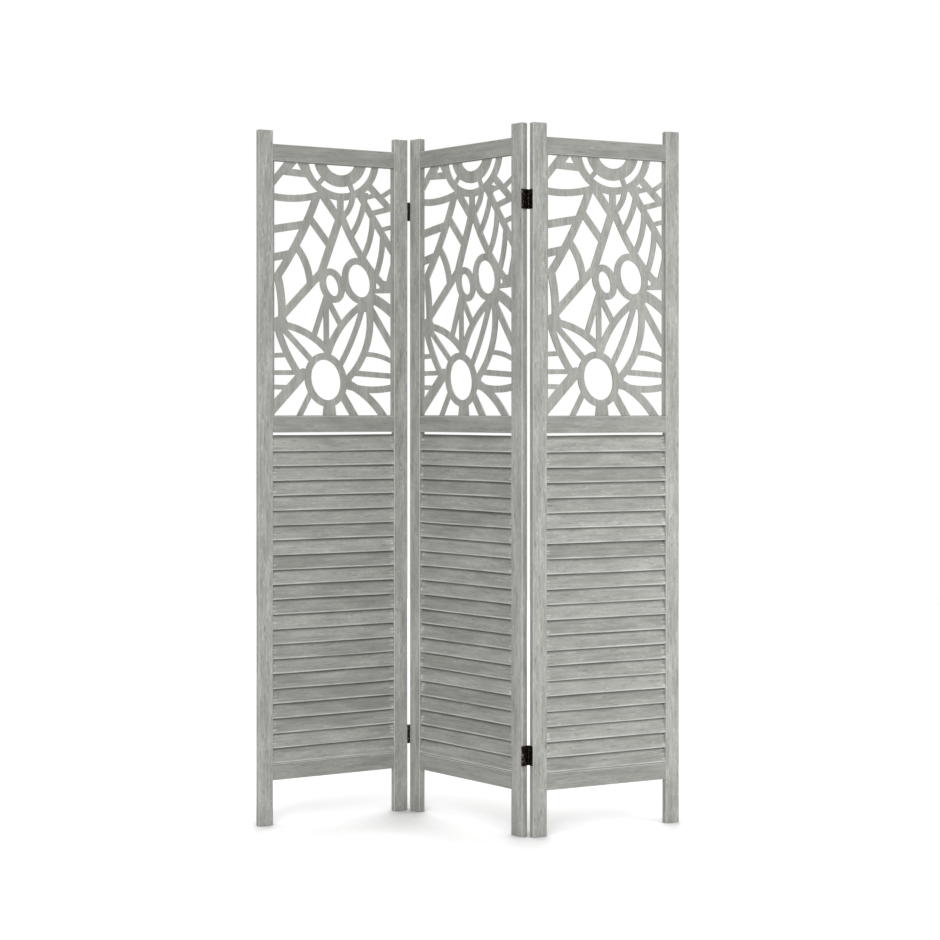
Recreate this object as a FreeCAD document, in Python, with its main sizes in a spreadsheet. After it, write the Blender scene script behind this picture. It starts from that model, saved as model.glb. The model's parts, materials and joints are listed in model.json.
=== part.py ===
"""Three-panel folding screen: louvred panels with a floral fretwork top, on double-action hinges.

Frame of the part: the origin is on the floor under the centre of the screen's outline, +Z is up and
the louvred fronts face -Y. Each panel is modelled upright and centred: x along its width, y through
its thickness (front at -y) and z up from the floor. The panels are then placed in their zigzag.
"""
import FreeCAD
import Part
import Sketcher
import math
import os
from FreeCAD import Placement, Rotation, Vector

PANELS = ("left", "middle", "right")
FOLDS = ("left", "right")
LEVELS = ("upper", "lower")

# Driving dimensions in millimetres, angles in degrees.
SIZES = {
    "panel_width": 400,
    "panel_height": 1700,
    "frame_thickness": 18,
    "stile_width": 37,
    "leg_height": 109,
    "bottom_rail_height": 40,
    "middle_rail_base": 960,
    "middle_rail_height": 40,
    "top_rail_height": 40,
    "post_rise": 33,
    "edge_chamfer": 1,
    "slat_count": 22,
    "slat_width": 41,
    "slat_thickness": 5,
    "slat_margin": 0.3,
    "slat_top_gap": 5.5,
    "slat_bottom_gap": 0.5,
    "slat_housing": 6,
    "slat_clearance": 0.1,
    "fret_thickness": 4,
    "fret_groove": 6,
    "fret_clearance": 0.2,
    "fret_side_border": 6,
    "fret_end_border": 2,
    "fret_fine": 12,
    "fret_vein": 14,
    "fret_stem": 17,
    "fret_stalk": 19.5,
    "fret_root": 25,
    "tenon_thickness": 6,
    "tenon_length": 20,
    "tenon_shoulder": 8,
    "tenon_clearance": 0.1,
    "middle_turn": 36,
    "left_fold": 73.4,
    "right_fold": 70.3,
    "hinge_height": 47,
    "hinge_top_drop": 182,
    "hinge_bottom_rise": 193,
    "hinge_gap": 5,
    "hinge_stand_off": 1.5,
    "hinge_running_gap": 0.4,
    "leaf_thickness": 1.25,
    "leaf_knuckle_room": 0.5,
    "link_thickness": 1.2,
    "pin_diameter": 2.4,
    "pin_clearance": 0.05,
}

# Levels and spacings that follow from the driving dimensions.
DERIVED = {
    "opening_half": "Sizes.panel_width / 2 - Sizes.stile_width",
    "face": "Sizes.frame_thickness / 2",
    "bottom_rail_top": "Sizes.leg_height + Sizes.bottom_rail_height",
    "middle_rail_top": "Sizes.middle_rail_base + Sizes.middle_rail_height",
    "top_rail_top": "Sizes.panel_height - Sizes.post_rise",
    "top_rail_base": "Sizes.panel_height - Sizes.post_rise - Sizes.top_rail_height",
    "slat_depth": "Sizes.frame_thickness - 2 * (Sizes.edge_chamfer + Sizes.slat_margin)",
    "slat_tilt": "asin(slat_depth / sqrt(Sizes.slat_width ^ 2 + Sizes.slat_thickness ^ 2))"
                 " - atan(Sizes.slat_thickness / Sizes.slat_width)",
    "slat_rise": "Sizes.slat_width * cos(slat_tilt) + Sizes.slat_thickness * sin(slat_tilt)",
    "first_slat": "Sizes.middle_rail_base - Sizes.slat_top_gap - slat_rise / 2",
    "slat_run": "first_slat - slat_rise / 2 - bottom_rail_top - Sizes.slat_bottom_gap",
    "slat_length": "2 * (opening_half + Sizes.slat_housing - Sizes.slat_clearance)",
    "groove_half": "Sizes.fret_thickness / 2 + Sizes.fret_clearance",
    "mortise_half": "Sizes.tenon_thickness / 2 + Sizes.tenon_clearance",
    "tenon_reach": "opening_half + Sizes.tenon_length",
    "axis_offset": "Sizes.frame_thickness / 2 + Sizes.hinge_stand_off",
    "knuckle_radius": "Sizes.hinge_gap / 2",
    "leaf_half": "axis_offset - knuckle_radius - Sizes.leaf_knuckle_room",
    "hinge_half": "Sizes.hinge_height / 2",
}

# The lower and the upper face of each rail.
RAIL_SPANS = {
    "bottom_rail": ("Sizes.leg_height", "Derived.bottom_rail_top"),
    "middle_rail": ("Sizes.middle_rail_base", "Derived.middle_rail_top"),
    "top_rail": ("Derived.top_rail_base", "Derived.top_rail_top"),
}

# The fretwork is drawn on a field as wide and high as its opening, measured in millimetres from the
# opening's lower left corner. A stroke is a band from one point to another: x, y, x, y, how far its
# middle bows to the left of its way, and the name of its width.
FIELD_WIDTH = 326
FIELD_HEIGHT = 627
STROKES = {
    "corner_leaf": [
        (-1, 570, 33, 612, 0, "stem"),
        (30, 602, 58, 636, 0, "root"),
        (29, 602, 91, 599, 0, "stem"),
        (71, 632, 87, 606, 0, "vein"),
    ],
    "left_leaf": [
        (8, 335, 120, 549, -8, "stalk"),
        (4, 539, 135, 553, -8, "stem"),
        (4, 459, 85, 474, 0, "stalk"),
        (4, 390, 48, 400, 0, "stalk"),
        (100, 490, 153, 424, 0, "stem"),
        (63, 420, 101, 329, 8, "stem"),
        (182, 500, 123, 335, 0, "stalk"),
        (130, 356, 27, 247, 0, "stalk"),
        (15, 345, 26, 222, 5, "stalk"),
    ],
    "left_petals": [
        (23, 226, 145, 165, 12, "stem"),
        (23, 222, 103, 140, 0, "vein"),
        (13, 225, 83, 88, -8, "stem"),
        (4, 149, 38, 151, 0, "fine"),
        (4, 107, 85, 108, 0, "fine"),
        (4, 72, 38, 71, 0, "fine"),
        (-10, 6, 84, 107, 0, "root"),
    ],
    "great_flower": [
        (103, 58, 65, -13, 0, "vein"),
        (149, 40, 143, -10, 0, "stalk"),
        (156, 40, 162, -10, 0, "stalk"),
        (185, 56, 228, -13, 0, "stalk"),
        (190, 86, 307, -13, 13, "stalk"),
        (196, 77, 330, 73, -9, "stem"),
        (212, 108, 330, 100, 0, "vein"),
        (206, 103, 206, 76, 0, "fine"),
        (247, 155, 330, 134, 6, "fine"),
        (258, 280, 198, 90, 27, "stem"),
        (182, 128, 243, 275, -5, "vein"),
        (243, 280, 145, 145, -15, "stem"),
        (143, 292, 145, 155, 0, "vein"),
        (145, 300, 109, 193, 0, "vein"),
        (146, 292, 185, 224, 0, "vein"),
    ],
    "right_edge": [
        (250, 304, 330, 256, 5, "root"),
        (261, 275, 333, 160, 0, "stem"),
        (259, 314, 330, 317, 0, "fine"),
        (291, 331, 333, 322, 0, "root"),
        (331, 400, 312, 325, 0, "vein"),
    ],
    "right_leaf": [
        (181, 512, 303, 326, -13, "stem"),
        (250, 561, 209, 447, 8, "vein"),
        (269, 505, 243, 398, 8, "vein"),
        (298, 458, 275, 345, 6, "vein"),
        (235, 553, 335, 399, 0, "stem"),
        (216, 558, 178, 490, 10, "vein"),
        (126, 560, 176, 494, 0, "stalk"),
        (182, 550, 182, 480, 0, "stem"),
    ],
    "right_shoot": [
        (259, 579, 319, 522, 0, "stem"),
        (294, 553, 331, 577, 0, "fine"),
        (261, 508, 332, 528, 0, "vein"),
        (283, 467, 332, 480, 0, "fine"),
        (233, 545, 283, 557, 0, "fine"),
    ],
}
# Oval eyes of the flowers: centre x and y, half height, half width and lean to the left in degrees.
EYES = {
    "small_bud": (160, 325, 27, 15, 20),
    "large_bud": (233, 339, 42, 28, 18),
    "great_flower": (143, 90, 51, 38.5, 16),
}
# Solid knots where several strokes meet: centre x and y, and radius.
KNOTS = [(21, 225, 21), (253, 281, 20), (82, 107.5, 11)]
# The half flower under the top rail: centre, then the radii of its eye, inner and outer rings.
HALF_FLOWER_CENTRE = (182, 643)
HALF_FLOWER_RADII = (42, 71, 87, 105)
HALF_FLOWER_SPOKES = (228, 292)

doc = FreeCAD.newDocument("FoldingScreen")
pockets = []
nodes = []


def fill_sheet(name, cells, prefix=""):
    """Make a sheet with one named cell for each entry."""
    sheet = doc.addObject("Spreadsheet::Sheet", name)
    for row, (alias, content) in enumerate(cells.items(), start=1):
        sheet.set(f"A{row}", alias)
        sheet.set(f"B{row}", f"{prefix}{content}")
        sheet.setAlias(f"B{row}", alias)
    doc.recompute()
    return sheet


sizes = fill_sheet("Sizes", SIZES)
fill_sheet("Derived", DERIVED, "=")


def size(expression):
    """The number that an expression over the two sheets gives."""
    return float(sizes.evalExpression(expression))


def origin_feature(body, role):
    return next(feature for feature in body.Origin.OriginFeatures if feature.Role == role)


def new_body(label):
    body = doc.addObject("PartDesign::Body", label)
    body.Label = label
    return body


def sketch_on(body, role, name, offset):
    """A sketch on an origin plane of the body, moved along the plane's normal."""
    sketch = body.newObject("Sketcher::SketchObject", name)
    sketch.AttachmentSupport = [(origin_feature(body, role), "")]
    sketch.MapMode = "FlatFace"
    sketch.setExpression("AttachmentOffset.Base.z", offset)
    return sketch


def bind(sketch, constraint, expression):
    index = sketch.addConstraint(constraint)
    sketch.setExpression(f"Constraints[{index}]", expression)


def rectangle(sketch, left, right, bottom, top):
    """A rectangle whose four sides are expressions, measured from the sketch's origin."""
    low_x, high_x, low_y, high_y = (size(side) for side in (left, right, bottom, top))
    corners = [Vector(low_x, low_y), Vector(high_x, low_y), Vector(high_x, high_y), Vector(low_x, high_y)]
    lines = [sketch.addGeometry(Part.LineSegment(corners[i], corners[(i + 1) % 4])) for i in range(4)]
    for i in range(4):
        sketch.addConstraint(Sketcher.Constraint("Coincident", lines[i], 2, lines[(i + 1) % 4], 1))
        sketch.addConstraint(Sketcher.Constraint("Vertical" if i % 2 else "Horizontal", lines[i]))
    bind(sketch, Sketcher.Constraint("DistanceX", -1, 1, lines[0], 1, low_x), left)
    bind(sketch, Sketcher.Constraint("DistanceX", -1, 1, lines[2], 1, high_x), right)
    bind(sketch, Sketcher.Constraint("DistanceY", -1, 1, lines[0], 1, low_y), bottom)
    bind(sketch, Sketcher.Constraint("DistanceY", -1, 1, lines[2], 1, high_y), top)


def pad(body, sketch, length):
    feature = body.newObject("PartDesign::Pad", f"{sketch.Name}_pad")
    feature.Profile = sketch
    feature.setExpression("Length", length)
    sketch.Visibility = False
    return feature


def pocket(body, sketch, depth, forward):
    """Cut the sketch into the body, along the sketch's normal where forward is true."""
    feature = body.newObject("PartDesign::Pocket", f"{sketch.Name}_pocket")
    feature.Profile = sketch
    feature.Reversed = forward
    feature.setExpression("Length", depth)
    pockets.append(feature)
    return feature


def ease_edges(body, feature, wanted):
    """Chamfer those edges of a feature that the test wants."""
    doc.recompute()
    names = [f"Edge{i}" for i, edge in enumerate(feature.Shape.Edges, start=1) if wanted(edge)]
    chamfer = body.newObject("PartDesign::Chamfer", f"{feature.Name}_chamfer")
    chamfer.Base = (feature, names)
    chamfer.setExpression("Size", "Sizes.edge_chamfer")


def runs_across(edge):
    """Whether a straight edge runs along the width of the panel."""
    first, last = (vertex.Point for vertex in edge.Vertexes)
    return abs(first.x - last.x) > abs(first.y - last.y) + abs(first.z - last.z)


def tenon_span(base, top):
    """The lower and upper edge of a rail's tenon, as expressions."""
    return f"({base} + Sizes.tenon_shoulder)", f"({top} - Sizes.tenon_shoulder)"


def hinge_height(level):
    if level == "upper":
        return "(Sizes.panel_height - Sizes.hinge_top_drop)"
    return "Sizes.hinge_bottom_rise"


def stile(label, side):
    """A post: slanted housings for the slats, a groove for the fretwork and a mortise for each rail."""
    body = new_body(label)
    inner = f"({side} * Derived.opening_half)"
    outer = f"({side} * Sizes.panel_width / 2)"
    low, high = (inner, outer) if side > 0 else (outer, inner)
    profile = sketch_on(body, "XY_Plane", f"{label}_profile", "0")
    rectangle(profile, low, high, "-Derived.face", "Derived.face")
    post = pad(body, profile, "Sizes.panel_height")
    ease_edges(body, post, lambda edge: True)

    inward = side > 0
    groove = sketch_on(body, "YZ_Plane", f"{label}_groove", inner)
    rectangle(groove, "-Derived.groove_half", "Derived.groove_half",
              "Derived.middle_rail_top - Sizes.fret_groove", "Derived.top_rail_base + Sizes.fret_groove")
    pocket(body, groove, "Sizes.fret_groove", inward)

    mortises = sketch_on(body, "YZ_Plane", f"{label}_mortises", inner)
    for base, top in RAIL_SPANS.values():
        tenon_base, tenon_top = tenon_span(base, top)
        rectangle(mortises, "-Derived.mortise_half", "Derived.mortise_half",
                  f"{tenon_base} - Sizes.tenon_clearance", f"{tenon_top} + Sizes.tenon_clearance")
    pocket(body, mortises, "Sizes.tenon_length + Sizes.tenon_clearance", inward)

    slot = sketch_on(body, "YZ_Plane", f"{label}_slat_slot", inner)
    slot.setExpression("AttachmentOffset.Base.y", "Derived.first_slat")
    slot.AttachmentOffset = Placement(slot.AttachmentOffset.Base, Rotation(Vector(0, 0, 1), -1))
    slot.setExpression("AttachmentOffset.Rotation.Angle", "-Derived.slat_tilt")
    half_thickness = "Sizes.slat_thickness / 2 + Sizes.slat_clearance"
    half_width = "Sizes.slat_width / 2 + Sizes.slat_clearance"
    rectangle(slot, f"-({half_thickness})", half_thickness, f"-({half_width})", half_width)
    housing = pocket(body, slot, "Sizes.slat_housing", inward)
    row = body.newObject("PartDesign::LinearPattern", f"{label}_slat_slots")
    row.Originals = [housing]
    row.Direction = (origin_feature(body, "Z_Axis"), [""])
    row.Reversed = True
    row.setExpression("Length", "Derived.slat_run")
    row.setExpression("Occurrences", "Sizes.slat_count")
    body.Tip = row
    return body


def rail(label, base, top):
    """A rail between the stiles, with a tenon at each end that runs through it as one bar."""
    body = new_body(label)
    profile = sketch_on(body, "XY_Plane", f"{label}_profile", base)
    rectangle(profile, "-Derived.opening_half", "Derived.opening_half", "-Derived.face", "Derived.face")
    bar = pad(body, profile, f"{top} - {base}")
    ease_edges(body, bar, runs_across)
    tenons = sketch_on(body, "YZ_Plane", f"{label}_tenons", "-Derived.tenon_reach")
    rectangle(tenons, "-Sizes.tenon_thickness / 2", "Sizes.tenon_thickness / 2", *tenon_span(base, top))
    pad(body, tenons, "2 * Derived.tenon_reach")
    return body


def fret_groove(body, level, upward):
    """The groove that holds the fretwork, cut into a rail from one of its faces."""
    groove = sketch_on(body, "XY_Plane", f"{body.Name}_groove", level)
    rectangle(groove, "-Derived.opening_half", "Derived.opening_half",
              "-Derived.groove_half", "Derived.groove_half")
    pocket(body, groove, "Sizes.fret_groove", upward)
    return body


def compound(label, members):
    group = doc.addObject("Part::Compound", label)
    group.Label = label
    group.Links = members
    return group


def slats(label):
    """The row of louvre slats: plain bars leaning back at the top."""
    turn = Rotation(Vector(1, 0, 0), -size("Derived.slat_tilt"))
    count = int(size("Sizes.slat_count"))
    step = size("Derived.slat_run") / max(count - 1, 1)
    sides = ("Derived.slat_length", "Sizes.slat_thickness", "Sizes.slat_width")
    half = Vector(*(size(side) / 2 for side in sides))
    bars = []
    for i in range(count):
        bar = doc.addObject("Part::Box", f"{label}_{i + 1}")
        bar.setExpression("Length", "Derived.slat_length")
        bar.setExpression("Width", "Sizes.slat_thickness")
        bar.setExpression("Height", "Sizes.slat_width")
        centre = Vector(0, 0, size("Derived.first_slat") - i * step)
        bar.Placement = Placement(centre - turn.multVec(half), turn)
        bars.append(bar)
    return compound(label, bars)


def band(start, end, bow, width):
    """A flat band of even width along the arc through two points and its bowed middle."""
    along = (end - start).normalize()
    across = Vector(-along.y, along.x)
    middle = (start + end) / 2 + across * bow
    if bow:
        centre = Part.Circle(start, middle, end).Center
        normals = [(point - centre).normalize() for point in (start, middle, end)]
    else:
        normals = [across] * 3
    rims = [[point + normal * side * width / 2 for point, normal in zip((start, middle, end), normals)]
            for side in (1, -1)]
    if bow:
        edges = [Part.Arc(*rim).toShape() for rim in rims]
    else:
        edges = [Part.LineSegment(rim[0], rim[2]).toShape() for rim in rims]
    edges += [Part.LineSegment(rims[0][i], rims[1][i]).toShape() for i in (0, 2)]
    return Part.Face(Part.Wire(Part.__sortEdges__(edges)))


def flat_ellipse(centre, half_height, half_width, lean):
    tilt = math.radians(lean)
    long_axis = Vector(-math.sin(tilt), math.cos(tilt))
    short_axis = Vector(math.cos(tilt), math.sin(tilt))
    curve = Part.Ellipse(centre + long_axis * half_height, centre + short_axis * half_width, centre)
    return Part.Face(Part.Wire(curve.toShape()))


def flat_disc(centre, radius):
    return Part.Face(Part.Wire(Part.Circle(centre, Vector(0, 0, 1), radius).toShape()))


def flat_box(left, right, bottom, top):
    return Part.makePlane(right - left, top - bottom, Vector(left, bottom, 0))


def fretwork():
    """The cut-out floral sheet: strokes, eyes and a half flower inside a border that sits in the grooves."""
    width = 2 * size("Derived.opening_half")
    height = size("Derived.top_rail_base") - size("Derived.middle_rail_top")
    across, upward = width / FIELD_WIDTH, height / FIELD_HEIGHT
    even = min(across, upward)

    def at(x, y):
        return Vector(x * across, y * upward)

    pieces = []
    for strokes in STROKES.values():
        for x1, y1, x2, y2, bow, name in strokes:
            pieces.append(band(at(x1, y1), at(x2, y2), bow * even, size(f"Sizes.fret_{name}")))
    for x, y, radius in KNOTS:
        pieces.append(flat_disc(at(x, y), radius * even))
    eyes = []
    rim = size("Sizes.fret_stem")
    for x, y, half_height, half_width, lean in EYES.values():
        half_height, half_width = half_height * even, half_width * even
        eyes.append(flat_ellipse(at(x, y), half_height, half_width, lean))
        pieces.append(flat_ellipse(at(x, y), half_height + rim, half_width + rim, lean))
    centre = at(*HALF_FLOWER_CENTRE)
    eye, ring_inside, ring_outside, rim_outside = (radius * even for radius in HALF_FLOWER_RADII)
    pieces.append(flat_disc(centre, rim_outside))
    eyes.append(flat_disc(centre, eye))
    arch = flat_disc(centre, ring_outside).cut(flat_disc(centre, ring_inside))
    for angle in HALF_FLOWER_SPOKES:
        ray = Vector(math.cos(math.radians(angle)), math.sin(math.radians(angle)))
        arch = arch.cut(band(centre + ray * eye, centre + ray * rim_outside, 0, size("Sizes.fret_fine")))
    eyes.append(arch)

    side, end = size("Sizes.fret_side_border"), size("Sizes.fret_end_border")
    field = flat_box(side, width - side, end, height - end)
    tongue = size("Sizes.fret_groove") - size("Sizes.fret_clearance")
    sheet = flat_box(-tongue, width + tongue, -tongue, height + tongue)
    drawing = pieces[0].multiFuse(pieces[1:]).cut(Part.makeCompound(eyes))
    openings = field.cut(drawing)
    face = sheet.cut(openings)
    solid = face.extrude(Vector(0, 0, size("Sizes.fret_thickness"))).removeSplitter()
    upright = Placement(
        Vector(-width / 2, size("Sizes.fret_thickness") / 2, size("Derived.middle_rail_top")),
        Rotation(Vector(1, 0, 0), 90))
    solid.Placement = upright
    return solid


def box(label, x_low, x_high, y_low, y_high, z_low, z_high):
    """A block between expressions."""
    block = doc.addObject("Part::Box", label)
    for prop, low, high in (("Length", x_low, x_high), ("Width", y_low, y_high), ("Height", z_low, z_high)):
        block.setExpression(prop, f"({high}) - ({low})")
    for axis, low in (("x", x_low), ("y", y_low), ("z", z_low)):
        block.setExpression(f"Placement.Base.{axis}", low)
    return block


def post_cylinder(label, radius, y_at, z_low, z_high):
    """An upright cylinder at x = 0."""
    post = doc.addObject("Part::Cylinder", label)
    post.setExpression("Radius", radius)
    post.setExpression("Height", f"({z_high}) - ({z_low})")
    post.setExpression("Placement.Base.y", y_at)
    post.setExpression("Placement.Base.z", z_low)
    return post


def fuse(label, members):
    group = doc.addObject("Part::MultiFuse", label)
    group.Shapes = members
    group.Refine = True
    return group


def cut(label, base, tool):
    result = doc.addObject("Part::Cut", label)
    result.Label = label
    result.Base = base
    result.Tool = tool
    return result


def knuckle_span(upper):
    """The height range of a knuckle in one half of the hinge."""
    low, high = "Sizes.hinge_running_gap / 2", "Derived.hinge_half"
    return (low, high) if upper else (f"-{high}", f"-{low}")


def knuckle(label, at_front, upper, arm_low, arm_high):
    """A knuckle with the arm that joins it to its plate, and the bore for its pin."""
    low, high = knuckle_span(upper)
    sign = "-" if at_front else ""
    y_axis, y_plate = f"{sign}Derived.axis_offset", f"{sign}Derived.leaf_half"
    y_low, y_high = (y_axis, y_plate) if at_front else (y_plate, y_axis)
    barrel = post_cylinder(f"{label}_barrel", "Derived.knuckle_radius", y_axis, low, high)
    arm = box(f"{label}_arm", arm_low, arm_high, y_low, y_high, low, high)
    bore_radius = "Sizes.pin_diameter / 2 + Sizes.pin_clearance"
    bore = post_cylinder(f"{label}_bore", bore_radius, y_axis, low, high)
    return [barrel, arm], bore


def plate_with_knuckles(label, x_low, x_high, knuckles):
    """A hinge plate as high as the hinge, with knuckles given as at the front or not, and upper or not."""
    solids = [box(f"{label}_plate", x_low, x_high, "-Derived.leaf_half", "Derived.leaf_half",
                  "-Derived.hinge_half", "Derived.hinge_half")]
    bores = []
    for at_front, upper in knuckles:
        name = f"{label}_{'front' if at_front else 'back'}"
        members, bore = knuckle(name, at_front, upper, x_low, x_high)
        solids += members
        bores.append(bore)
    return cut(label, fuse(f"{label}_solid", solids), compound(f"{label}_bores", bores))


def middle_leaf(label):
    """The leaf on the middle panel's edge, with its knuckle on the front pin."""
    x_low, x_high = "-Derived.knuckle_radius", "-Derived.knuckle_radius + Sizes.leaf_thickness"
    return plate_with_knuckles(label, x_low, x_high, [(True, True)])


def outer_leaf(label):
    """The leaf on the outer panel's edge, with its knuckle on the back pin."""
    x_low, x_high = "Derived.knuckle_radius - Sizes.leaf_thickness", "Derived.knuckle_radius"
    return plate_with_knuckles(label, x_low, x_high, [(False, False)])


def link(label):
    """The plate in mid gap that joins the front pin to the back pin."""
    x_low, x_high = "-Sizes.link_thickness / 2", "Sizes.link_thickness / 2"
    return plate_with_knuckles(label, x_low, x_high, [(True, False), (False, True)])


def pins(label):
    """The front and the back pin, as long as the hinge is high."""
    rods = [post_cylinder(f"{label}_{name}", "Sizes.pin_diameter / 2", y_axis,
                          "-Derived.hinge_half", "Derived.hinge_half")
            for name, y_axis in (("front", "-Derived.axis_offset"), ("back", "Derived.axis_offset"))]
    return compound(label, rods)


def turned(angle):
    return Placement(Vector(), Rotation(Vector(0, 0, 1), angle))


def fold_frames():
    """Placements of the panels, and of each hinge's two sides, in the zigzag."""
    reach = size("Sizes.panel_width / 2 + Sizes.hinge_gap / 2")
    axis = Vector(0, size("Derived.axis_offset"), 0)
    middle = turned(-size("Sizes.middle_turn"))
    panels, hinges = {"middle": middle}, {}
    for name, half_turn, side in (("left", 180, -1), ("right", 0, 1)):
        still = middle * Placement(Vector(side * reach, 0, 0), Rotation()) * turned(half_turn)
        fold = turned(size(f"Sizes.{name}_fold"))
        moving = still * Placement(axis, Rotation()) * fold * Placement(-axis, Rotation())
        panels[name] = moving * Placement(Vector(reach, 0, 0), Rotation()) * turned(half_turn)
        hinges[name] = (still, moving)
    return panels, hinges


def place(node, placement):
    node.Placement = placement
    nodes.append(node)


def centre_on_origin():
    """Move the standing screen so that its outline's centre is over the origin."""
    outline = FreeCAD.BoundBox()
    for node in nodes:
        outline.add(node.Shape.BoundBox)
    shift = Placement(Vector(-outline.Center.x, -outline.Center.y, 0), Rotation())
    for node in nodes:
        node.Placement = shift * node.Placement


panel_frames, hinge_frames = fold_frames()
fret_shape = fretwork()
for panel in PANELS:
    frame = panel_frames[panel]
    prefix = f"{panel}_panel"
    place(stile(f"{prefix}_left_stile", -1), frame)
    place(stile(f"{prefix}_right_stile", 1), frame)
    rails = {name: rail(f"{prefix}_{name}", *span) for name, span in RAIL_SPANS.items()}
    fret_groove(rails["middle_rail"], "Derived.middle_rail_top", False)
    fret_groove(rails["top_rail"], "Derived.top_rail_base", True)
    for body in rails.values():
        place(body, frame)
    place(slats(f"{prefix}_louvre_slats"), frame)
    fret = doc.addObject("Part::Feature", f"{prefix}_fretwork")
    fret.Label = f"{prefix}_fretwork"
    fret.Shape = fret_shape
    place(fret, frame * fret_shape.Placement)

for fold in FOLDS:
    still, moving = hinge_frames[fold]
    for level in LEVELS:
        rise = Placement(Vector(0, 0, size(hinge_height(level))), Rotation())
        prefix = f"{fold}_{level}_hinge"
        place(middle_leaf(f"{prefix}_middle_leaf"), still * rise)
        place(link(f"{prefix}_link"), still * rise)
        place(pins(f"{prefix}_pins"), still * rise)
        place(outer_leaf(f"{prefix}_outer_leaf"), moving * rise)

doc.recompute()
centre_on_origin()
doc.recompute()
for item in doc.Objects:
    if "Invalid" in item.State or "Error" in item.State:
        raise RuntimeError(f"{item.Label} failed: {item.State}")
for feature in pockets:
    if feature.Shape.Volume >= feature.BaseFeature.Shape.Volume:
        raise RuntimeError(f"{feature.Label} cuts nothing")
for node in nodes:
    if node.Shape.isNull() or not node.Shape.isValid():
        raise RuntimeError(f"{node.Label} has no valid shape")

os.makedirs("parts", exist_ok=True)
for node in nodes:
    node.Shape.exportStep(os.path.join("parts", f"{node.Label}.step"))
    print(node.Label, len(node.Shape.Solids), round(node.Shape.Volume))
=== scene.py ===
# %% [markdown]
# # A folding screen in grey-washed wood
# The screen has three hinged panels that stand in a zigzag. The lower part of each panel is a row of
# louvre slats, and the upper part is a sheet of floral fretwork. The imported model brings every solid
# in its place, so this lesson is about what the eye sees: the washed and brushed wood, the worn
# slats, the dark bronze of the hinges and their screws.

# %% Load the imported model
import json
import math
import random

import bmesh
import bpy
from mathutils import Matrix, Vector


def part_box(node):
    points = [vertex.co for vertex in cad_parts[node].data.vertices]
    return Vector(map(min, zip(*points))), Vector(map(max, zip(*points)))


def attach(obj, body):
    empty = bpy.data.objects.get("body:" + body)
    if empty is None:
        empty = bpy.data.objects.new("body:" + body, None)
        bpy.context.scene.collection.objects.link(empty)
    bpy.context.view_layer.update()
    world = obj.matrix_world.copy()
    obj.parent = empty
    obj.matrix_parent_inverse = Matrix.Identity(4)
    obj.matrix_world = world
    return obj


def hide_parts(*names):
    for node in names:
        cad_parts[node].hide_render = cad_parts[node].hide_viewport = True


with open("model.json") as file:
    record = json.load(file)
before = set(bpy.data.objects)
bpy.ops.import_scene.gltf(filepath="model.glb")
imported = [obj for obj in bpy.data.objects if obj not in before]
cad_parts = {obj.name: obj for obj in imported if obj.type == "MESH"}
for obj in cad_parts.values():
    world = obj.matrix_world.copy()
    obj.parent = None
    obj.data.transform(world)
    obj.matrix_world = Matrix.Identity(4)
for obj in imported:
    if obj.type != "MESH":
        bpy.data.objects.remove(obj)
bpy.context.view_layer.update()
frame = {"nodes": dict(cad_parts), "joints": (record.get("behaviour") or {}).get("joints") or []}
nodes = frame["nodes"]
MM = 0.001

# %% [markdown]
# ## How the panels stand
# The zigzag turns the middle panel one way and the two outer panels the other way. A wood pattern has
# to run along each board, so the finishes need these angles. A fold's joint stops where the screen is
# flat, so the joint's lower limit tells how far the fold is closed now.

# %% Angles of the panels
MIDDLE_YAW = math.radians(-36)
joints = {joint["name"]: joint for joint in frame["joints"]}
fold_angle = {}
panel_yaw = {"middle": MIDDLE_YAW}
for fold in ("left", "right"):
    flat_limit = joints[f"{fold}_fold"]["range_deg"][0]
    fold_angle[fold] = -math.radians(flat_limit)
    panel_yaw[fold] = MIDDLE_YAW + fold_angle[fold]
print({panel: round(math.degrees(yaw), 1) for panel, yaw in panel_yaw.items()})

# %% [markdown]
# ## Helpers for materials
# Colours are written as the sRGB hex values that a paint chart gives, and shaders work with linear
# light, so one function converts them. Node trees are easier to read when a node, its settings and
# its links stand together, so one function adds a node with all three.

# %% Colours and nodes
WHITE = "#ffffff"


def linear(hex_colour):
    """The linear RGBA value of an sRGB hex colour."""
    channels = [int(hex_colour[i:i + 2], 16) / 255 for i in (1, 3, 5)]
    return [c / 12.92 if c <= 0.04045 else ((c + 0.055) / 1.055) ** 2.4 for c in channels] + [1.0]


def add_node(tree, kind, inputs=None, **settings):
    """Add a node, set its properties, and give each input a value or a link."""
    node = tree.nodes.new(kind)
    for name, value in settings.items():
        setattr(node, name, value)
    for key, value in (inputs or {}).items():
        if isinstance(value, bpy.types.NodeSocket):
            tree.links.new(value, node.inputs[key])
        else:
            node.inputs[key].default_value = value
    return node


def new_material(name):
    """A material, its node tree and its shader."""
    material = bpy.data.materials.new(name)
    material.use_nodes = True
    tree = material.node_tree
    return material, tree, tree.nodes["Principled BSDF"]


print("white as linear light", linear(WHITE))

# %% [markdown]
# ## Paint on brushed softwood
# Light softwood is brushed with wire, so that the soft part of each year's growth wears away, and
# then wiped with a thin grey paint. To the eye that is a grey which is cloudy from afar and streaky
# from near by. A picture of such wood could be wrapped round the boards, but its grain would break at
# every edge. Noises have no edges, so four of them are used, all stretched along the grain: broad
# clouds of paint, narrow brush streaks, short dark pores and pale flecks.

# %% Colour of the paint
THIN_WASH = "#8d8d88"
THICK_WASH = "#b3b3ae"
PORE_GREY = "#74746f"
FLECK_GREY = "#c4c4bf"
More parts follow.
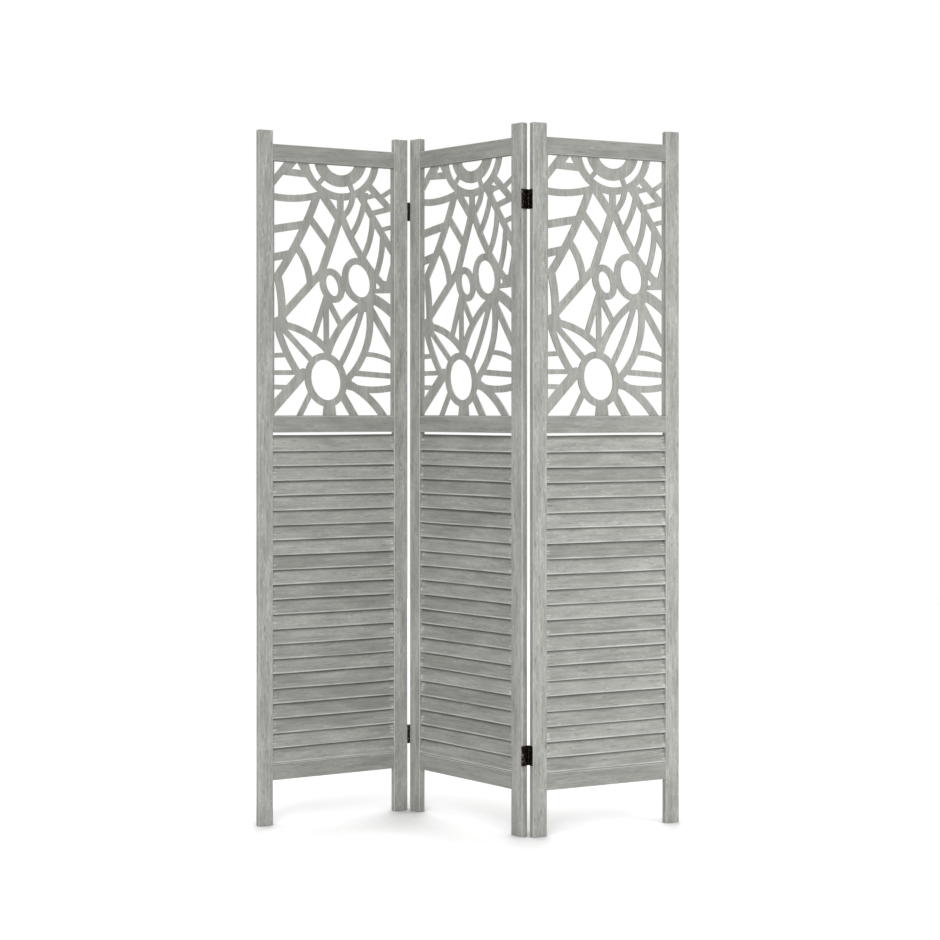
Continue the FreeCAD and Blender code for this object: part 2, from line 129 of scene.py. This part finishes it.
# Sizes across and along the grain. Real brush marks are about 1 mm wide and pores less. A dot of the
# picture is 2.4 mm wide on the screen, so both are drawn coarser to show at all.
CLOUD_SIZE = (22 * MM, 110 * MM)
STREAK_SIZE = (4.5 * MM, 110 * MM)
PORE_SIZE = (3.0 * MM, 26 * MM)
FLECK_SIZE = (4.0 * MM, 12 * MM)
# Levels of a noise at which its marks begin and are full. The middle of every noise is 0.5.
NOISE_MIDDLE = 0.5
WASH_SPREAD = 0.30
STREAK_LOW, STREAK_HIGH = 0.28, 0.72
PORE_FROM, PORE_FULL = 0.58, 0.74
FLECK_FROM, FLECK_FULL = 0.54, 0.70
# How far full marks change the paint.
STREAK_DEPTH = 0.16
PORE_COVER = 0.6
FLECK_COVER = 0.9


def washed_colour(tree, noise, shade, contrast):
    """The grey of the paint, with its streaks and pores, which the surface follows too."""
    # Paint lies in soft clouds. A slat's own tone shifts them all, and other pieces have no such tone.
    board = add_node(tree, "ShaderNodeAttribute", attribute_name="board_tone")
    toned = add_node(tree, "ShaderNodeMath", operation="ADD", inputs={
        0: noise(CLOUD_SIZE, detail=4.0, roughness=0.6), 1: board.outputs["Fac"]})
    middle = NOISE_MIDDLE - shade
    spread = WASH_SPREAD / contrast
    wash = add_node(tree, "ShaderNodeMapRange", inputs={
        "Value": toned.outputs["Value"], "From Min": middle - spread, "From Max": middle + spread})
    paint = add_node(tree, "ShaderNodeMix", data_type="RGBA", inputs={
        0: wash.outputs["Result"], 6: linear(THIN_WASH), 7: linear(THICK_WASH)})

    # The brush draws streaks, pale and dark by turns.
    streaks = noise(STREAK_SIZE, detail=4.0, roughness=0.7)
    streak_level = add_node(tree, "ShaderNodeMapRange", inputs={
        "Value": streaks, "From Min": STREAK_LOW, "From Max": STREAK_HIGH,
        "To Min": 1 - STREAK_DEPTH * contrast, "To Max": 1 + STREAK_DEPTH * contrast})
    brushed = add_node(tree, "ShaderNodeVectorMath", operation="SCALE", inputs={
        0: paint.outputs[2], "Scale": streak_level.outputs["Result"]})

    # Open pores keep less paint and read as short dark lines.
    pores = add_node(tree, "ShaderNodeMapRange", inputs={
        "Value": noise(PORE_SIZE, detail=2.0, roughness=0.5),
        "From Min": PORE_FROM, "From Max": PORE_FULL, "To Max": PORE_COVER * contrast})
    pored = add_node(tree, "ShaderNodeMix", data_type="RGBA", inputs={
        0: pores.outputs["Result"], 6: brushed.outputs["Vector"], 7: linear(PORE_GREY)})

    # Where the paint is thick, drops of it dry as pale flecks.
    flecks = add_node(tree, "ShaderNodeMapRange", inputs={
        "Value": noise(FLECK_SIZE, detail=3.0, roughness=0.6),
        "From Min": FLECK_FROM, "From Max": FLECK_FULL, "To Max": FLECK_COVER * contrast})
    clustered = add_node(tree, "ShaderNodeMath", operation="MULTIPLY", inputs={
        0: flecks.outputs["Result"], 1: wash.outputs["Result"]})
    flecked = add_node(tree, "ShaderNodeMix", data_type="RGBA", inputs={
        0: clustered.outputs["Value"], 6: pored.outputs[2], 7: linear(FLECK_GREY)})
    return flecked.outputs[2], streaks, pores.outputs["Result"]


print("streaks", [round(size / MM, 1) for size in STREAK_SIZE], "mm across and along the grain")

# %% [markdown]
# ## Rubbed corners
# Handling rubs the paint off the corners of the wood. The corners could be picked out and given a
# material of their own, but then the pale line would end sharply. The direction that a face looks in
# says enough: on a side of the board it is one of the board's own axes, and on a rounded corner it
# lies between two of them.

# %% Rubbed corners
# Pale of rubbed paint, used also for the painted highlight on the slats' lower edges.
PALE_WEAR_AND_HIGHLIGHT_GREY = "#d2d2cd"
# How much of a face's direction lies along the nearest axis of the board.
SIDE_FACING = 0.97
CORNER_FACING = 0.80
CORNER_COVER = 0.8


def rubbed_corners(tree, place, board_turn, colour):
    """The colour, paler where a face lies at a slant to a board that is turned by these angles."""
    facing = add_node(tree, "ShaderNodeMapping", vector_type="TEXTURE", inputs={
        "Vector": place.outputs["Normal"], "Rotation": board_turn})
    sides = add_node(tree, "ShaderNodeVectorMath", operation="ABSOLUTE", inputs={
        0: facing.outputs["Vector"]})
    parts = add_node(tree, "ShaderNodeSeparateXYZ", inputs={"Vector": sides.outputs["Vector"]})
    wider = add_node(tree, "ShaderNodeMath", operation="MAXIMUM", inputs={
        0: parts.outputs["X"], 1: parts.outputs["Y"]})
    widest = add_node(tree, "ShaderNodeMath", operation="MAXIMUM", inputs={
        0: wider.outputs["Value"], 1: parts.outputs["Z"]})
    rubbed = add_node(tree, "ShaderNodeMapRange", inputs={
        "Value": widest.outputs["Value"], "From Min": SIDE_FACING, "From Max": CORNER_FACING,
        "To Max": CORNER_COVER})
    return add_node(tree, "ShaderNodeMix", data_type="RGBA", inputs={
        0: rubbed.outputs["Result"], 6: colour, 7: linear(PALE_WEAR_AND_HIGHLIGHT_GREY)}).outputs[2]


print("corners rubbed from", round(math.degrees(math.acos(SIDE_FACING))), "degrees of slant")

# %% [markdown]
# ## The whole finish
# Thin paint on brushed wood is matt, with a little more sheen on the raised streaks, and its grain can
# be felt. Every board could have a finish written for it, but they differ in few ways: how the board
# is turned, how pale it is, how strong its marks are, and what is worn on it, with the painted
# highlight and painted shade of the slats. So one function makes them all. A Mapping node of the
# Texture kind turns the pattern with the panel and divides by a size, so each size is a real one.

# %% Grey-washed wood
PAINT_IOR = 1.5
# Roughness between the streaks and on them.
MATT, SHEEN = 0.80, 0.64
GRAIN_DEPTH = 0.5 * MM
GRAIN_STRENGTH = 0.35


def washed_wood(name, yaw, upright, lean=0.0, shade=0.0, contrast=1.0, wear=None):
    """Grey-washed softwood with its grain upright or level, on a panel turned by yaw.

    shade makes the whole board paler or darker, and wear adds what is worn on one kind of piece,
    and on the slats a painted highlight and painted shade too."""
    material, tree, shader = new_material(name)
    place = add_node(tree, "ShaderNodeTexCoord")

    def noise(across_and_along, detail, roughness):
        """Noise with a size across and along the grain of this board."""
        across, along = across_and_along
        size = (across, across, along) if upright else (along, across, across)
        turn = add_node(tree, "ShaderNodeMapping", vector_type="TEXTURE", inputs={
            "Vector": place.outputs["Object"], "Rotation": (0, 0, yaw), "Scale": size})
        return add_node(tree, "ShaderNodeTexNoise", inputs={
            "Vector": turn.outputs["Vector"], "Scale": 1.0, "Detail": detail,
            "Roughness": roughness}).outputs["Fac"]

    colour, streaks, pores = washed_colour(tree, noise, shade, contrast)
    if wear:
        colour = wear(tree, colour, streaks)
    colour = rubbed_corners(tree, place, (lean, 0, yaw), colour)
    relief = add_node(tree, "ShaderNodeMath", operation="SUBTRACT", inputs={0: streaks, 1: pores})
    bump = add_node(tree, "ShaderNodeBump", inputs={
        "Height": relief.outputs["Value"], "Strength": GRAIN_STRENGTH, "Distance": GRAIN_DEPTH})
    gloss = add_node(tree, "ShaderNodeMapRange", inputs={
        "Value": streaks, "To Min": MATT, "To Max": SHEEN})
    tree.links.new(colour, shader.inputs["Base Color"])
    tree.links.new(gloss.outputs["Result"], shader.inputs["Roughness"])
    tree.links.new(bump.outputs["Normal"], shader.inputs["Normal"])
    shader.inputs["IOR"].default_value = PAINT_IOR
    return material


print("roughness of the paint from", SHEEN, "to", MATT)

# %% [markdown]
# ## Stiles and rails
# The frame of a panel is two upright stiles and three level rails, planed and with eased corners. They
# could be modelled again with more wear in their shape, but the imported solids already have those
# corners. So they stay as they are, and each gets the finish whose grain runs along it. The stiles took
# the paint unevenly, and the rails are a little darker and more even.

# %% Finish the stiles and rails
UPRIGHT_PIECES = ("left_stile", "right_stile")
LEVEL_PIECES = ("bottom_rail", "middle_rail", "top_rail")


def finish_node(name, material):
    """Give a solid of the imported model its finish."""
    slots = nodes[name].data.materials
    slots.clear()
    slots.append(material)


for panel, yaw in panel_yaw.items():
    stile_wood = washed_wood(f"grey-washed softwood, {panel} stiles", yaw, upright=True,
                             shade=0.05, contrast=1.3)
    rail_wood = washed_wood(f"grey-washed softwood, {panel} rails", yaw, upright=False,
                            shade=-0.18, contrast=0.9)
    for piece in UPRIGHT_PIECES:
        finish_node(f"{panel}_panel_{piece}", stile_wood)
    for piece in LEVEL_PIECES:
        finish_node(f"{panel}_panel_{piece}", rail_wood)
print(len(panel_yaw) * len(UPRIGHT_PIECES + LEVEL_PIECES), "stiles and rails finished")

# %% [markdown]
# ## Fretwork sheets
# The fretwork is sawn from thin fibreboard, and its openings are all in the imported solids. Board has no
# grain, but it was brushed with the same grey, and to the eye the marks of the brush pass for grain. So
# it gets the finish of the wood, upright, with marks that are a little weaker than usual.

# %% Finish the fretwork
for panel, yaw in panel_yaw.items():
    fretwork_paint = washed_wood(f"grey-painted fibreboard, {panel}", yaw, upright=True, contrast=0.95)
    finish_node(f"{panel}_panel_fretwork", fretwork_paint)
print(len(panel_yaw), "fretwork sheets finished")

# %% [markdown]
# ## Louvre slats
# Each slat is a thin board whose corners have been sanded round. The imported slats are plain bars, so a
# copy of them is merged, its coplanar triangles are joined, and its corners are bevelled. A Bevel
# modifier could round them too, but the next step cuts the boards after they are rounded.

# %% Sand the slats
SLAT_ROUNDING = 1.6 * MM
ROUNDING_STEPS = 3
MERGE_REACH = 0.01 * MM
COPLANAR = math.radians(1)


def sand_bars(work):
    """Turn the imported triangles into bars, and round their corners."""
    bmesh.ops.remove_doubles(work, verts=work.verts, dist=MERGE_REACH)
    bmesh.ops.dissolve_limit(work, angle_limit=COPLANAR, verts=work.verts, edges=work.edges)
    bmesh.ops.bevel(work, geom=work.edges[:], offset=SLAT_ROUNDING, segments=ROUNDING_STEPS,
                    profile=0.5, affect="EDGES", material=-1)


sanded = {}
for panel in panel_yaw:
    sanded[panel] = bmesh.new()
    sanded[panel].from_mesh(nodes[f"{panel}_panel_louvre_slats"].data)
    sand_bars(sanded[panel])
print({panel: len(work.faces) for panel, work in sanded.items()}, "faces on sanded slats")

# %% [markdown]
# ## Slats that aren't quite straight
# Thin boards never stay quite straight. A Simple Deform modifier could bend them, but it would bend all
# the slats of a panel as one. Here cross cuts along the slats let each board bow and sag by itself, by
# less than 2 mm, and the ends stay where the stiles hold them. Each slat also gets a tone, and a map in
# metres along the board and up from its lower edge, so that wear can follow the board.

# %% Bow the slats
SLAT_CUTS = 9
SLAT_BOW = 0.8 * MM
SLAT_SAG = 0.7 * MM
SLAT_LEAN = math.radians(-14.9)
BOARD_TONE = 0.15
SEED = 7
chance = random.Random(SEED)


def boards_of(work):
    """The loose boards in a mesh, from the lowest up, each as the list of its vertices."""
    boards, seen = [], set()
    for start in work.verts:
        if start in seen:
            continue
        seen.add(start)
        board = [start]
        # The list grows while it is walked through, until the whole board is in it.
        for vert in board:
            for edge in vert.link_edges:
                other = edge.other_vert(vert)
                if other not in seen:
                    seen.add(other)
                    board.append(other)
        boards.append(board)
    return sorted(boards, key=lambda board: min(vert.co.z for vert in board))


def bow_boards(work, yaw):
    """Give every board a bow, a sag, a tone and a map, and return how many there are."""
    along = Vector((math.cos(yaw), math.sin(yaw), 0))
    outward = Vector((math.sin(yaw), -math.cos(yaw), 0))
    upward = Matrix.Rotation(SLAT_LEAN, 3, along) @ Vector((0, 0, 1))
    middle = sum((vert.co for vert in work.verts), Vector()) / len(work.verts)
    reach = max((vert.co - middle).dot(along) for vert in work.verts)
    for cut in range(1, SLAT_CUTS + 1):
        place = middle + along * reach * (2 * cut / (SLAT_CUTS + 1) - 1)
        bmesh.ops.bisect_plane(work, geom=work.verts[:] + work.edges[:] + work.faces[:],
                               plane_co=place, plane_no=along)
    tones = work.faces.layers.float.new("board_tone")
    board_map = work.loops.layers.uv.new("board_map")
    boards = boards_of(work)
    for board in boards:
        bow, twist = (chance.uniform(-SLAT_BOW, SLAT_BOW) for _ in range(2))
        sag, slope = (chance.uniform(-SLAT_SAG, SLAT_SAG) for _ in range(2))
        tone = chance.uniform(-BOARD_TONE, BOARD_TONE)
        foot = min(vert.co.dot(upward) for vert in board)
        for vert in board:
            share = (vert.co - middle).dot(along) / reach
            for loop in vert.link_loops:
                loop[board_map].uv = (share * reach, vert.co.dot(upward) - foot)
                loop.face[tones] = tone
            vert.co += outward * (bow + twist * share) * (1 - share ** 2)
            vert.co += upward * (sag + slope * share) * (1 - share ** 2)
    return len(boards)


def add_object(name, work):
    """An object in the scene, with what the bmesh holds."""
    mesh = bpy.data.meshes.new(name)
    work.to_mesh(mesh)
    work.free()
    made = bpy.data.objects.new(name, mesh)
    bpy.context.scene.collection.objects.link(made)
    return made


slat_objects = {}
for panel, work in sanded.items():
    source = nodes[f"{panel}_panel_louvre_slats"]
    count = bow_boards(work, panel_yaw[panel])
    slats = add_object(f"{panel}_panel_sanded_slats", work)
    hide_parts(source.name)
    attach(slats, f"{panel}_panel")
    slat_objects[panel] = slats
    print(panel, count, "slats with", len(slats.data.polygons), "faces")

# %% [markdown]
# ## Wear and painted light on the slats
# The lower edge of a slat is the one that hands and dust cloths touch. It gets a pale band, which is
# rubbed paint and also a painted highlight of the edge. The strip under the next slat is painted dark:
# a painted shade where that slat overhangs it. At the ends, where the slat rubs in its slot, paint
# chips off. All this could be painted by hand on 66 boards. But the map in metres says how far a place
# is from the lower edge and from the middle of its board, so each kind of mark is a range of one of the
# two.

# %% Finish the slats
# Painted shade: the strip of a slat under the next slat's overhang is darkened in its colour.
PAINTED_SHADE_GREY = "#4c4c48"
PAINTED_SHADE_FROM, PAINTED_SHADE_FULL = 29.0 * MM, 37.5 * MM
PAINTED_SHADE_COVER = 0.75
# A pale band along the lower edge: rubbed paint, with a painted highlight of the edge.
WORN_AND_HIGHLIT_FROM, WORN_AND_HIGHLIT_FULL = 4.5 * MM, 1.5 * MM
# The stiles are 163 mm from the middle of a slat.
CHIPPED_FROM, CHIPPED_FULL = 150 * MM, 162 * MM
# Levels of the streaks between which the pale band of the lower edge shows and paint is chipped.
WORN_AND_HIGHLIT_LOW, WORN_AND_HIGHLIT_HIGH = 0.36, 0.62
WORN_AND_HIGHLIT_LEAST, WORN_AND_HIGHLIT_MOST = 0.15, 0.95
CHIP_LOW, CHIP_HIGH = 0.52, 0.58


def slat_wear_and_painted_light(tree, colour, streaks):
    """A pale edge (wear and painted highlight), chipped ends, and painted shade under the next slat."""
    board_map = add_node(tree, "ShaderNodeUVMap", uv_map="board_map")
    place = add_node(tree, "ShaderNodeSeparateXYZ", inputs={"Vector": board_map.outputs["UV"]})
    # Painted shade under the next slat: the colour darkens towards the top of the slat.
    bare = add_node(tree, "ShaderNodeMapRange", inputs={
        "Value": place.outputs["Y"], "From Min": PAINTED_SHADE_FROM, "From Max": PAINTED_SHADE_FULL,
        "To Max": PAINTED_SHADE_COVER})
    dark = add_node(tree, "ShaderNodeMix", data_type="RGBA", inputs={
        0: bare.outputs["Result"], 6: colour, 7: linear(PAINTED_SHADE_GREY)})
    # The pale band is rubbed paint and a painted highlight along the lower edge.
    edge = add_node(tree, "ShaderNodeMapRange", interpolation_type="SMOOTHSTEP", inputs={
        "Value": place.outputs["Y"], "From Min": WORN_AND_HIGHLIT_FROM, "From Max": WORN_AND_HIGHLIT_FULL})
    patchy = add_node(tree, "ShaderNodeMapRange", inputs={
        "Value": streaks, "From Min": WORN_AND_HIGHLIT_LOW, "From Max": WORN_AND_HIGHLIT_HIGH,
        "To Min": WORN_AND_HIGHLIT_LEAST, "To Max": WORN_AND_HIGHLIT_MOST})
    rubbed = add_node(tree, "ShaderNodeMath", operation="MULTIPLY", inputs={
        0: edge.outputs["Result"], 1: patchy.outputs["Result"]})
    from_middle = add_node(tree, "ShaderNodeMath", operation="ABSOLUTE", inputs={0: place.outputs["X"]})
    end = add_node(tree, "ShaderNodeMapRange", inputs={
        "Value": from_middle.outputs["Value"], "From Min": CHIPPED_FROM, "From Max": CHIPPED_FULL})
    chips = add_node(tree, "ShaderNodeMapRange", inputs={
        "Value": streaks, "From Min": CHIP_LOW, "From Max": CHIP_HIGH})
    chipped = add_node(tree, "ShaderNodeMath", operation="MULTIPLY", inputs={
        0: end.outputs["Result"], 1: chips.outputs["Result"]})
    worn = add_node(tree, "ShaderNodeMath", operation="MAXIMUM", inputs={
        0: rubbed.outputs["Value"], 1: chipped.outputs["Value"]})
    return add_node(tree, "ShaderNodeMix", data_type="RGBA", inputs={
        0: worn.outputs["Value"], 6: dark.outputs[2], 7: linear(PALE_WEAR_AND_HIGHLIGHT_GREY)}).outputs[2]


for panel, slats in slat_objects.items():
    slat_wood = washed_wood(f"grey-washed softwood, {panel} slats", panel_yaw[panel], upright=False,
                            lean=SLAT_LEAN, shade=-0.09, wear=slat_wear_and_painted_light)
    slats.data.materials.append(slat_wood)
print("slats of", len(slat_objects), "panels finished")

# %% [markdown]
# ## Bronzed steel hinges
# The hinges are pressed steel with a dark brown bronze finish. It is a metal, so almost all that shows
# is reflection: a dark colour, a middling roughness, and spots where the knuckles and links have rubbed
# the finish through to the steel. The spots could follow the edges of the metal, but a whole hinge is
# only about ten dots wide in the picture, so a plain noise is enough. On a real hinge the spots are
# about 2 mm wide, which is less than one dot, so they are drawn at 5 mm. The pins and screws have no
# bronze finish and look like dull, paler steel.

# %% Finish the hinges
BRONZE_DARK = "#231c18"
BARE_STEEL = "#989187"
PIN_DULL = "#4a453e"
PIN_BARE = "#8b857b"
SPOT_SIZE = 5.0 * MM
SPOT_FROM, SPOT_FULL = 0.56, 0.70
# Roughness of the finish, and of the bare spots.
SOFT_SHEEN, SHARP_GLEAM = 0.5, 0.34


def worn_steel(name, dark, bare):
    """Dark metal with bare spots: a sharp, smoother gleam in each spot and a soft sheen elsewhere."""
    material, tree, shader = new_material(name)
    place = add_node(tree, "ShaderNodeTexCoord")
    size = add_node(tree, "ShaderNodeMapping", vector_type="TEXTURE", inputs={
        "Vector": place.outputs["Object"], "Scale": (SPOT_SIZE, SPOT_SIZE, SPOT_SIZE)})
    wear = add_node(tree, "ShaderNodeTexNoise", inputs={
        "Vector": size.outputs["Vector"], "Scale": 1.0, "Detail": 4.0, "Roughness": 0.65})
    spots = add_node(tree, "ShaderNodeMapRange", inputs={
        "Value": wear.outputs["Fac"], "From Min": SPOT_FROM, "From Max": SPOT_FULL})
    colour = add_node(tree, "ShaderNodeMix", data_type="RGBA", inputs={
        0: spots.outputs["Result"], 6: linear(dark), 7: linear(bare)})
    gloss = add_node(tree, "ShaderNodeMapRange", inputs={
        "Value": spots.outputs["Result"], "To Min": SOFT_SHEEN, "To Max": SHARP_GLEAM})
    tree.links.new(colour.outputs[2], shader.inputs["Base Color"])
    tree.links.new(gloss.outputs["Result"], shader.inputs["Roughness"])
    shader.inputs["Metallic"].default_value = 1.0
    return material


hinge_bronze = worn_steel("bronzed pressed steel", BRONZE_DARK, BARE_STEEL)
pin_steel = worn_steel("dulled pin steel", PIN_DULL, PIN_BARE)
hinge_nodes = [name for name in nodes if "_hinge_" in name]
for name in hinge_nodes:
    finish_node(name, pin_steel if name.endswith("_pins") else hinge_bronze)
print(len(hinge_nodes), "solids of the hinges finished")

# %% [markdown]
# ## Screw heads
# Every leaf is held by three small screws with slotted, slightly domed heads. A head could be cut with
# a Boolean modifier, but its slot is straight, so two cuts across a short cone mark a strip, and the
# strip is pushed down.

# %% One screw head
HEAD_RADIUS = 2.4 * MM
HEAD_TOP = 0.75 * HEAD_RADIUS
HEAD_RISE = 0.4 * MM
HEAD_SIDES = 20
SLOT_WIDTH = 0.7 * MM
SLOT_DEPTH = 0.25 * MM
# Of a head's faces, only those on top look upwards by more than this.
UPWARD = 0.9


def add_screw_head(work, place):
    """Add a slotted head that stands on the plane of the given matrix."""
    head = bmesh.new()
    bmesh.ops.create_cone(head, cap_ends=True, segments=HEAD_SIDES, radius1=HEAD_RADIUS,
                          radius2=HEAD_TOP, depth=HEAD_RISE,
                          matrix=Matrix.Translation((0, 0, HEAD_RISE / 2)))
    for side in (-1, 1):
        bmesh.ops.bisect_plane(head, geom=head.verts[:] + head.edges[:] + head.faces[:],
                               plane_co=(0, side * SLOT_WIDTH / 2, 0), plane_no=(0, 1, 0))
    strip = [face for face in head.faces
             if face.normal.z > UPWARD and abs(face.calc_center_median().y) < SLOT_WIDTH / 2]
    pushed = bmesh.ops.extrude_face_region(head, geom=strip)
    bmesh.ops.delete(head, geom=strip, context="FACES")
    sunk = [item for item in pushed["geom"] if isinstance(item, bmesh.types.BMVert)]
    bmesh.ops.translate(head, verts=sunk, vec=(0, 0, -SLOT_DEPTH))
    bmesh.ops.transform(head, matrix=place, verts=head.verts)
    finished = bpy.data.meshes.new("screw_head")
    head.to_mesh(finished)
    head.free()
    work.from_mesh(finished)
    bpy.data.meshes.remove(finished)


print("screw heads", 2 * HEAD_RADIUS / MM, "mm wide")

# %% [markdown]
# ## Where the screws are
# Measuring the turned leaves would be one way to place the screws. The joints give the same more
# simply: a fold turns about one of its hinge's two pins, the leaves lie half way between the pins, and
# the outer leaf is turned about that pin by the angle of the fold.

# %% Screws of the leaves
PIN_SPACING = 21 * MM
# From the middle of the gap between two panels to the side of a leaf that shows.
LEAF_FACE = 1.25 * MM
SCREW_PLACES = (-15 * MM, 0, 15 * MM)


def leaf_frame(fold, outer):
    """Where a leaf's exposed face is: a point at floor level and the direction it faces."""
    pin = Vector(joints[f"{fold}_fold"]["pos_m"])
    side = 1 if fold == "right" else -1
    through = Vector((-math.sin(MIDDLE_YAW), math.cos(MIDDLE_YAW), 0)) * side
    across = through.cross(Vector((0, 0, 1)))
    between_pins = pin - through * PIN_SPACING / 2
    if not outer:
        return between_pins - across * LEAF_FACE, across
    turn = Matrix.Rotation(fold_angle[fold], 3, "Z")
    return pin + turn @ (between_pins + across * LEAF_FACE - pin), turn @ -across


def leaf_screws(leaf, point, facing):
    """The three screws of one leaf, each with its slot turned as it happened to stop."""
    lowest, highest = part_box(leaf)
    upright = facing.to_track_quat("Z", "Y").to_matrix().to_4x4()
    work = bmesh.new()
    for rise in SCREW_PLACES:
        spot = Vector((point.x, point.y, (lowest.z + highest.z) / 2 + rise))
        slot_turn = Matrix.Rotation(chance.uniform(0, math.pi), 4, "Z")
        add_screw_head(work, Matrix.Translation(spot) @ upright @ slot_turn)
    return add_object(f"{leaf}_screws", work)


leaves = 0
for fold in fold_angle:
    for level in ("upper", "lower"):
        for side in ("middle", "outer"):
            point, facing = leaf_frame(fold, side == "outer")
            screws = leaf_screws(f"{fold}_{level}_hinge_{side}_leaf", point, facing)
            screws.data.materials.append(pin_steel)
            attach(screws, "middle_panel" if side == "middle" else f"{fold}_panel")
            leaves += 1
print("screws on", leaves, "leaves")

# %% [markdown]
# ## Studio floor
# The photograph's ground is plain white with faint shadows at the feet. A floor of pure light would
# have no shadows, and plain paper would be grey at a level that suits the wood. So the floor is matt
# white paper: light falls on it as on the screen, and for the camera and for mirrored light it gets a
# little more. The darkest shadows lie close round the feet. An Ambient Occlusion node tells how open a
# place on the paper is, and there the paper's colour and its extra light are darkened: a painted
# contact shadow where feet and rails close in on it.

# %% Floor
FLOOR_SIDE = 10.0
PAPER_WHITE = "#f4f4f4"
PAPER_ROUGHNESS = 0.9
PAPER_LIFT = 0.42
# How far and how strongly the painted contact shadow reaches.
CONTACT_REACH = 0.28
CONTACT_POWER = 1.25
CONTACT_SAMPLES = 8


def seen_directly(tree):
    """1 for rays that show the ground itself: from the camera, or mirrored in metal."""
    path = add_node(tree, "ShaderNodeLightPath")
    either = add_node(tree, "ShaderNodeMath", operation="MAXIMUM", inputs={
        0: path.outputs["Is Camera Ray"], 1: path.outputs["Is Glossy Ray"]})
    any_of = add_node(tree, "ShaderNodeMath", operation="MAXIMUM", inputs={
        0: either.outputs["Value"], 1: path.outputs["Is Transmission Ray"]})
    return any_of.outputs["Value"]


def studio_paper():
    """Matt white paper, which looks plain white wherever no shadow lies.

    Near feet and rails its colour is darkened as a painted contact shadow.
    """
    material, tree, shader = new_material("white studio paper")
    # Painted contact shadow: the paper's colour and lift are darkened where the paper is closed in.
    openness = add_node(tree, "ShaderNodeAmbientOcclusion", samples=CONTACT_SAMPLES, inputs={
        "Distance": CONTACT_REACH})
    contact_shade = add_node(tree, "ShaderNodeMath", operation="POWER", inputs={
        0: openness.outputs["AO"], 1: CONTACT_POWER})
    white = add_node(tree, "ShaderNodeVectorMath", operation="SCALE", inputs={
        0: linear(PAPER_WHITE)[:3], "Scale": contact_shade.outputs["Value"]})
    directly = add_node(tree, "ShaderNodeMath", operation="MULTIPLY", inputs={
        0: seen_directly(tree), 1: contact_shade.outputs["Value"]})
    lift = add_node(tree, "ShaderNodeMath", operation="MULTIPLY", inputs={
        0: directly.outputs["Value"], 1: PAPER_LIFT})
    tree.links.new(white.outputs["Vector"], shader.inputs["Base Color"])
    tree.links.new(lift.outputs["Value"], shader.inputs["Emission Strength"])
    shader.inputs["Emission Color"].default_value = linear(WHITE)
    shader.inputs["Roughness"].default_value = PAPER_ROUGHNESS
    return material


work = bmesh.new()
bmesh.ops.create_grid(work, x_segments=1, y_segments=1, size=FLOOR_SIDE / 2)
floor = add_object("floor", work)
floor.data.materials.append(studio_paper())
print("floor", FLOOR_SIDE, "m wide")

# %% [markdown]
# ## Studio walls
# Walls of white paper could stand round the screen, but they would be in the way of the lamps. The
# world does instead: it is white for the camera and a soft, even light for everything else.

# %% World
SKY_LIGHT = 0.48
world = bpy.data.worlds.new("white studio")
bpy.context.scene.world = world
world.use_nodes = True
sky = world.node_tree.nodes["Background"]
sky.inputs["Color"].default_value = linear(WHITE)
sky_level = add_node(world.node_tree, "ShaderNodeMapRange", inputs={
    "Value": seen_directly(world.node_tree), "To Min": SKY_LIGHT, "To Max": 1.0})
world.node_tree.links.new(sky_level.outputs["Result"], sky.inputs["Strength"])
print("even light of strength", SKY_LIGHT)

# %% [markdown]
# ## Lamps
# One large soft lamp far above the camera lights all three panels alike, and every slat throws a thin
# shadow on the next. A small one at the right, level with the middle of the screen, reaches mostly the
# right panel, because the ridge of the zigzag stands in its way to the left one. A third lamp is behind,
# for whoever walks round the screen. A sun would do for the front too, but its shadows would be sharp.

# %% Lamps
# Where each lamp is, the length of its side in metres, and its watts.
LAMPS = {"front lamp": ((0.7, -12.0, 8.5), 6.0, 880),
         "right lamp": ((1.9, -0.40, 0.9), 0.9, 7.5),
         "back lamp": ((-1.5, 10.0, 7.0), 6.0, 500)}
LAMP_AIM = Vector((0, 0, 0.8))

for name, (place, side, watts) in LAMPS.items():
    light = bpy.data.lights.new(name, "AREA")
    light.size = side
    light.energy = watts
    lamp = bpy.data.objects.new(name, light)
    lamp.location = place
    lamp.rotation_euler = (LAMP_AIM - lamp.location).to_track_quat("-Z", "Y").to_euler()
    bpy.context.scene.collection.objects.link(lamp)
print(len(LAMPS), "lamps")

# %% [markdown]
# ## Camera
# The camera stands a little to the right at chest height, far enough for a long lens. Tilted down, it
# would make the posts lean, so it looks level and its frame is shifted down instead.

# %% Camera
LENS = 68.64
SENSOR_WIDTH = 36
FRAME_SHIFT = -0.0680
CAMERA_PLACE = (0.789, -4.337, 1.025)
CAMERA_TURN = math.radians(10.28)

lens = bpy.data.cameras.new("camera")
lens.lens = LENS
lens.sensor_width = SENSOR_WIDTH
lens.shift_y = FRAME_SHIFT
camera = bpy.data.objects.new("camera", lens)
camera.location = CAMERA_PLACE
camera.rotation_euler = (math.pi / 2, 0, CAMERA_TURN)
bpy.context.scene.collection.objects.link(camera)
bpy.context.scene.camera = camera
bpy.context.scene.view_settings.view_transform = "Standard"
print("camera at", CAMERA_PLACE)
